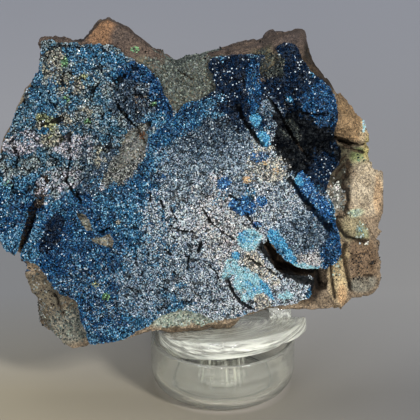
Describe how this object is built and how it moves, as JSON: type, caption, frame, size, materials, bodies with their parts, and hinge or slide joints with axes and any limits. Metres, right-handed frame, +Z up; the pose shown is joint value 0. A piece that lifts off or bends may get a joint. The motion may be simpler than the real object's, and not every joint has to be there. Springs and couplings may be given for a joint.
{
  "type": "cornetite specimen",
  "caption": "Leaning slab of tan and brown rock whose face carries a druse of tiny blue crystals, on a small round clear display stand.",
  "frame": {"origin": "centre of the flat foot of the stand's cup, on the surface it stands on", "axes": "+Z up along the cup's axis, +X to the right along the slab's width as seen from its crystal face, -Y out of the crystal face, towards the viewer"},
  "size_m": [0.0877, 0.0434, 0.0812],
  "materials": {
    "matrix": "dull, rough, tan to brown with grey-green stains",
    "crust": "glittering deep blue to turquoise crystal druse",
    "clear_plastic": "clear, polished"
  },
  "bodies": {
    "root": {"matrix_rock": "matrix", "cornetite_crust": "crust", "stand_cup": "clear_plastic", "stand_head": "clear_plastic"}
  },
  "joints": []
}
